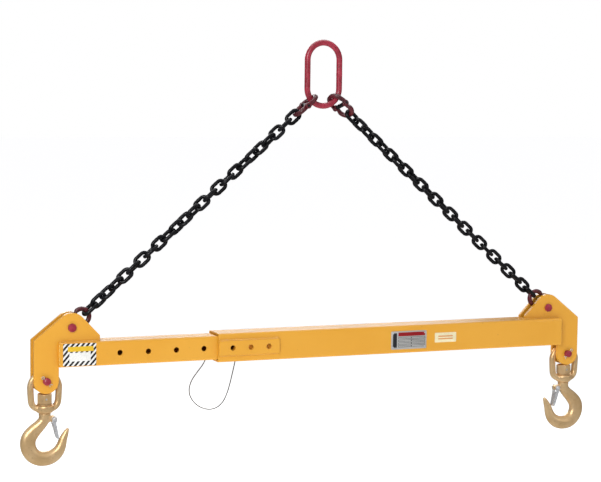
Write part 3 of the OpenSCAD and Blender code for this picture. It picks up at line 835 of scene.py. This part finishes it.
LANYARD = [(-267, 176, -55), (-267, 176, -64), (-275, 175, -78), (-292, 171, -97), (-308, 165, -115),
           (-318, 158, -134), (-320, 150, -154), (-312, 140, -172), (-296, 129, -186),
           (-275, 117, -191), (-256, 106, -184), (-243, 95, -167), (-236, 85, -144),
           (-232, 76, -120), (-229, 69, -97), (-226, 63, -74), (-223, 58, -52), (-219, 55, -36),
           (-218, 54, -26)]
LANYARD_D = 3.0
ROPE_LAY, ROPE_GROOVE = 18, 0.14
EYE_R, EYE_Z = 5, 15
INDEX_HEAD_SPAN = 18
LUG_R, LUG_T, LUG_HOLE_R = 6.6, 6, 2.8
PULL_RING_R, PULL_RING_WIRE_R, PULL_RING_SPREAD = 19.5, 0.9, 1.9
PULL_RING_START, PULL_RING_TURNS = 40, 2


def at_beam(point):
    """A point measured in mm from the beam's centre line, in the row frame."""
    return Vector(point) * MM + BEAM


def rope(name, path, looped=False):
    """Six strands laid round each other along a path."""
    travelled, rings = 0.0, []
    for i, (point, (u, v)) in enumerate(zip(path, frames_along(path, looped))):
        if i:
            travelled += (path[i] - path[i - 1]).length
        ring = []
        for k in range(24):
            a = 2 * math.pi * k / 24
            r = LANYARD_D / 2 * MM * (1 - ROPE_GROOVE + ROPE_GROOVE * abs(math.cos(3 * a)))
            turn = a + 2 * math.pi * travelled / (ROPE_LAY * MM)
            ring.append(point + u * r * math.cos(turn) + v * r * math.sin(turn))
        rings.append(ring)
    return loft(name, rings, looped=looped)


def lanyard_end(node, foot, turn, body):
    """A crimped ferrule and the eye above it, which is turned about Z by an angle in degrees."""
    profile = [(0, -1.6), (2.3, -1.6), (3.0, -0.9), (3.0, 1.4), (2.65, 2.0), (2.65, 3.0), (3.0, 3.6),
               (3.0, 5.0), (2.65, 5.6), (2.65, 6.6), (3.0, 7.2), (3.0, 9.3), (2.4, 10.0), (0, 10.0)]
    ferrule = lathe("ferrule", profile, 32)
    transform(ferrule, Matrix.Translation(foot) @ TO_METRES)
    loop = [Vector((x, 0, z)) * MM for x, z in arc(0, 0, EYE_R, 0, 360, 40)[:-1]]
    eye = rope("eye", loop, looped=True)
    place = Matrix.Translation(foot + Vector((0, 0, EYE_Z * MM)))
    transform(eye, place @ Matrix.Rotation(math.radians(turn), 4, "Z"))
    crimp = joined(f"{node}_crimp", [ferrule, eye])
    return finish_piece(crimp, body, "zinc", MATERIALS["zinc"], node)


def make_lanyard():
    route = [at_beam(p) for p in LANYARD]
    path = smooth_line(route, 260)
    line = rope("lanyard_rope", path)
    line.data.materials.append(MATERIALS["cable"])
    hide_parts("lanyard")
    lift = Vector((0, 0, 0.4 * MM))
    ends = [lanyard_end("lanyard_pin_end", route[0] + lift, 90, "index_pin"),
            lanyard_end("lanyard_anchor_end", route[-1] + lift, 0, "outer_beam")]
    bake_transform(line)


def make_index_pin():
    """A round pin with a head, and a lug on the head for the pull ring."""
    low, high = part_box("index_pin")
    mid = middle("index_pin")
    length = (high.y - low.y) / MM - INDEX_HEAD_SPAN
    profile = [(0, 0), (3.6, 0), (4.4, 0.5), (6.35, 3.2), (6.35, length - 3), (6.1, length - 2.4),
               (6.1, length - 1), (7.2, length), (11.2, length), (12, length + 0.8),
               (12, length + 5.0), (11, length + 6), (0, length + 6)]
    shaft = lathe("shaft", profile)
    transform(shaft, Matrix.Translation((mid.x, low.y, mid.z)) @ UP_TO_Y @ TO_METRES)
    head = length + 6
    outline = [(-7, head - 1), (7, head - 1)] + arc(0, head + 5.4, LUG_R, 0, 180, 16)
    lug = rounded(extruded("lug", outline, -LUG_T / 2, LUG_T / 2), 0.8)
    hole = Matrix.Translation((0, 0, (head + 6) * MM)) @ UP_TO_Y
    cut_by(lug, transform(rod(20 * MM, LUG_HOLE_R * MM), hole))
    upright = Matrix(((0, 1, 0, mid.x), (0, 0, 1, low.y), (1, 0, 0, mid.z), (0, 0, 0, 1)))
    transform(lug, upright)
    pin = joined("index_pin_steel", [shaft, lug])
    finish_piece(pin, "index_pin", "zinc", MATERIALS["zinc"], "index_pin")


def make_pull_ring():
    """A split ring: two turns of wire side by side."""
    ring = middle("pull_ring")
    steps, turns = 160, []
    for i in range(steps + 1):
        a = math.radians(PULL_RING_START + 360 * PULL_RING_TURNS * i / steps)
        aside = (i / steps - 0.5) * PULL_RING_SPREAD
        turns.append(ring + Vector((PULL_RING_R * math.cos(a), aside, PULL_RING_R * math.sin(a))) * MM)
    coil = tube("pull_ring_coil", turns, PULL_RING_WIRE_R * MM, 12)
    finish_piece(coil, "index_pin", "zinc", MATERIALS["zinc"], "pull_ring")


# ---- Swivel hooks ----

HOOK = [(0, -91, 29, 29), (-3, -104, 28, 28), (-13, -116, 30, 27), (-28, -130, 35, 27),
        (-40, -145, 39, 27), (-44, -160, 40, 28), (-41, -177, 40, 29), (-31, -192, 39, 30),
        (-16, -201, 38, 31), (2, -203, 37, 31), (19, -199, 35, 29), (34, -188, 31, 26),
        (43, -173, 26, 23), (48, -157, 21, 20), (54, -143, 16, 16), (59, -133, 10, 12),
        (62, -128, 5, 7)]
LATCH_X, LATCH_Z, LATCH_TILT = 23.0, -100.0, 12.5
LATCH_HOLE_R = 3.05
LATCH_TAPER, LATCH_TAPER_FROM, LATCH_TAPER_L = 0.30, 14, 40
SPRING_R, SPRING_WIRE_R, SPRING_Y, SPRING_PITCH = 4.6, 0.55, 8.75, 0.6
BAIL_BAR, BAIL_BOW_Z, BAIL_BOW_R, BAIL_BOW_SPREAD = 16, -15.6, 33.5, 1.09
SHANK_HOLE_R, SHANK_HOLE_Z = 10.3, -74
NUT_Z, NUT_H, NUT_FLAT_R, NUT_BORE_R, NUT_PIN_HOLE_R = -60.2, 26.0, 18.0, 10.05, 2.55


def at_hook(side):
    """The hook pin's place, turned so that the hook opens towards the beam's middle."""
    place = Matrix.Translation(middle(f"{side}_lower_pin") * Vector((1, 0, 1)))
    return place @ Matrix.Rotation(math.pi, 4, "Z") if side == "right" else place


def at_latch(side):
    """The latch bolt's place, turned so that the closed latch hangs down its Z."""
    return (at_hook(side) @ Matrix.Translation((LATCH_X * MM, 0, LATCH_Z * MM))
            @ Matrix.Rotation(math.radians(-LATCH_TILT), 4, "Y"))


def make_bail(side):
    """A stirrup that turns on the hook pin, with a hub that holds the hook's shank."""
    arm = [(4, -74, 16, 36), (13, -73.5, 16, 33), (23, -71, 15.5, 27), (31.5, -64, 15.5, 21),
           (35, -54, 16, 18), (36.2, -40, 16, 17), (37, -26, 16, 16), (36.6, -12, 16, 16)]
    bow = [(BAIL_BOW_SPREAD * x, z, BAIL_BAR, BAIL_BAR)
           for x, z in arc(0, BAIL_BOW_Z, BAIL_BOW_R, 36, 144, 4)]
    stirrup = swept("stirrup", arm + bow + mirrored(arm), 120, 30, 2.8)
    hub = lathe("hub", [(0, -84), (16.5, -84), (18.4, -83.2), (21, -80.5), (24, -76), (25.4, -71),
                        (25, -66.5), (23.6, -64), (0, -64)], 64)
    transform(hub, TO_METRES)
    bail = forged(f"{side}_bail_forging", [stirrup, hub], 1.0, 7)
    hole = Matrix.Translation((0, 0, SHANK_HOLE_Z * MM))
    cut_by(bail, transform(rod(60 * MM, SHANK_HOLE_R * MM), hole))
    transform(bail, at_hook(side))
    finish_piece(bail, f"{side}_bail", "gold_steel", MATERIALS["gold_steel"], f"{side}_bail")


def make_hook(side):
    """The hook with its grooved collar and its shank, the ear of its latch, and two bosses on each side."""
    body = swept("body", HOOK, 120, 32, 2.25)
    collar = [(0, -94), (13.0, -94), (14.6, -92.4), (15.5, -91.2), (15.5, -89.2), (14.0, -88.6),
              (14.0, -88.0), (15.5, -87.4), (15.5, -85.6), (14.9, -85.0), (0, -85.0)]
    shank = [(0, -92), (10, -92), (10, -34.4), (9.2, -33.5), (0, -33.5)]
    marks = []
    for x, z in ((-28, -137), (-27, -189)):
        for sign in (-1, 1):
            mark = lathe("mark", [(0, -3), (2.6, -3), (2.4, 0.5), (0, 0.9)], 20)
            place = Matrix.Translation((x, sign * 13.6, z)) @ (UP_TO_Y if sign > 0 else UP_TO_FRONT)
            marks.append(transform(mark, TO_METRES @ place))
    rows = [(2, -101, 15, 20), (9, -100.5, 15, 18), (16, -100, 14.5, 16.6), (23, -100, 13.6, 16)]
    ear = swept("ear", rows, 24, 24, 4.0)
    knuckle = lathe("knuckle", [(0, -8), (6.4, -8), (7, -7.4), (7, 7.4), (6.4, 8), (0, 8)], 40)
    hinge = Matrix.Translation((LATCH_X * MM, 0, LATCH_Z * MM)) @ UP_TO_Y
    transform(knuckle, hinge @ TO_METRES)
    turned = [transform(lathe("turned", p, 64), TO_METRES) for p in (collar, shank)]
    hook = forged(f"{side}_hook_forging", [body, ear, knuckle, *turned, *marks], 1.0, 3)
    cut_by(hook, transform(rod(50 * MM, LATCH_HOLE_R * MM), hinge))
    transform(hook, at_hook(side))
    finish_piece(hook, f"{side}_hook", "gold_steel", MATERIALS["gold_steel"], f"{side}_hook")


def make_swivel_nut(side):
    """A hexagon with both ends turned to a cone, on the hook's shank."""
    corner = NUT_FLAT_R / math.cos(math.radians(30))
    levels = [(0, 17.4), (0.5, 18.4), (1.2, 19.4), (2.2, 20.4), (3.2, corner)]
    levels += [(NUT_H - z, r) for z, r in levels[::-1]]
    angles = [2 * math.pi * k / 96 for k in range(96)]
    rings = [[Vector((NUT_BORE_R * math.cos(a), NUT_BORE_R * math.sin(a), NUT_Z)) for a in angles]]
    for z, limit in levels:
        ring = []
        for a in angles:
            off = (math.degrees(a) - 15) % 60 - 30
            r = min(NUT_FLAT_R / math.cos(math.radians(off)), limit)
            ring.append(Vector((r * math.cos(a), r * math.sin(a), NUT_Z + z)))
        rings.append(ring)
    rings.append([p + Vector((0, 0, NUT_H)) for p in rings[0]])
    nut = loft(f"{side}_swivel_nut_hexagon", rings, looped=True)
    pin_hole = Matrix.Translation((0, 0, NUT_Z + NUT_H / 2)) @ UP_TO_Y
    cut_by(nut, transform(rod(50, NUT_PIN_HOLE_R), pin_hole))
    transform(nut, at_hook(side) @ TO_METRES)
    rounded(nut, 0.5, 2)
    finish_piece(nut, f"{side}_hook", "gold_steel", MATERIALS["gold_steel"], f"{side}_swivel_nut")


def make_latch(side):
    """A pressed channel that hangs from two ears, narrowing towards its tip."""
    sides = [(-6.6, -6), (-5.6, -14), (-5.0, -30), (-4.6, -46), (-3.4, -52.5), (-1.6, -54),
             (1.0, -54), (2.0, -53), (2.0, -15), (2.6, -10.5), (5.2, -6.0)]
    channel = extruded("channel", arc(0, 0, 7, 0, 180, 14) + sides, -12, 12)
    inside = [(-20, -60), (0, -60), (0, -12), (20, -8), (20, 20), (-20, 20)]
    cut_by(channel, extruded("inside", inside, -10, 10))
    rounded(channel, 0.45)
    for vertex in channel.data.vertices:
        share = max(0.0, min(1.0, (-vertex.co.z / MM - LATCH_TAPER_FROM) / LATCH_TAPER_L))
        vertex.co.y *= 1 - LATCH_TAPER * share
    channel.name = f"{side}_latch_channel"
    transform(channel, at_latch(side))
    finish_piece(channel, f"{side}_latch", "zinc", MATERIALS["zinc"], f"{side}_latch")


def make_latch_bolt(side):
    """The bolt that the latch turns on, with a domed head at each end."""
    profile = [(0, -16.3), (3.6, -16.3), (5.2, -15.4), (5.5, -14.2), (5.5, -12.3), (3, -12.3), (3, 12.3),
               (5.5, 12.3), (5.5, 14.2), (5.2, 15.4), (3.6, 16.3), (0, 16.3)]
    bolt = lathe(f"{side}_latch_bolt_turned", profile, 40)
    transform(bolt, at_latch(side) @ UP_TO_Y @ TO_METRES)
    finish_piece(bolt, f"{side}_hook", "zinc", MATERIALS["zinc"], f"{side}_latch_bolt")


def make_latch_spring(side):
    """A coil on each side of the hook's ear, with a leg that bears on the hook."""
    line = [(-12.5, -9.5), (-9, -7.5), (-5.5, -5.5)] + arc(0, 0, SPRING_R, 235, 560, 30)
    steps = len(line) - 1
    coils = []
    for sign in (-1, 1):
        path = [Vector((x, sign * (SPRING_Y + SPRING_PITCH * i / steps), z)) * MM
                for i, (x, z) in enumerate(line)]
        coils.append(tube("coil", path, SPRING_WIRE_R * MM, 10))
    spring = transform(joined(f"{side}_latch_spring_coils", coils), at_latch(side))
    finish_piece(spring, f"{side}_hook", "zinc", MATERIALS["zinc"], f"{side}_latch_spring")


# ---- Scene ----

MATERIALS = {
    "yellow_paint": yellow_paint("yellow_enamel", 0.25),
    "maroon_paint": maroon_paint("maroon_paint", (0.25, 0.012, 0.028, 1), (0.38, 0.024, 0.052, 1)),
    "black_chain": black_chain(),
    "gold_steel": gold_forging(),
    "zinc": zinc_plate(),
    "cable": cable_steel(),
    "data_plate": data_plate_print(),
    "label": label_print(),
    "hazard": hazard_print(),
}
BEAD_PAINT = yellow_paint("yellow_bead_enamel", 1.0)
# A copy of the maroon paint in darker colours, for the coupling halves: painted shade on the same paint as the
# master link.
SHADED_MAROON = maroon_paint("maroon_paint_painted_shade", (0.055, 0.006, 0.010, 1), (0.110, 0.010, 0.018, 1))

bpy.context.scene.view_settings.view_transform = "Standard"
make_camera()
make_lanyard()
make_world()
make_light("key_softbox", (-2.9, -3.6, 1.3), (2.2, 2.2), 112)
make_light("fill_softbox", (3.8, -4.4, 0.6), (1.0, 2.8), 14)
make_light("top_strip", (0, 0.3, 2.4), (3.4, 0.8), 36)
make_light("back_strip", (0.8, 3.6, 0.6), (3.0, 1.0), 40)
make_stage()

for subpart in frame["record"]["subparts"]:
    NODES[subpart["node"]].material_slots[0].material = MATERIALS[subpart["material_slot"]]

make_master_link()
make_index_pin()
make_pull_ring()
flat_piece("data_plate", "data_plate_etched", 3, "data_plate", "outer_beam", 0.25)
flat_piece("capacity_label", "capacity_label_film", 2, "label", "outer_beam", 0.1)
flat_piece("hazard_decal", "hazard_decal_film", 2, "hazard", "inner_beam", 0.1)
make_rivets()
make_sleeve_beads()
for side in SIDES:
    make_chain(side)
    make_couplings(side)
    make_bracket_pins(side)
    make_bracket_beads(side)
    make_bail(side)
    make_hook(side)
    make_swivel_nut(side)
    make_latch(side)
    make_latch_bolt(side)
    make_latch_spring(side)
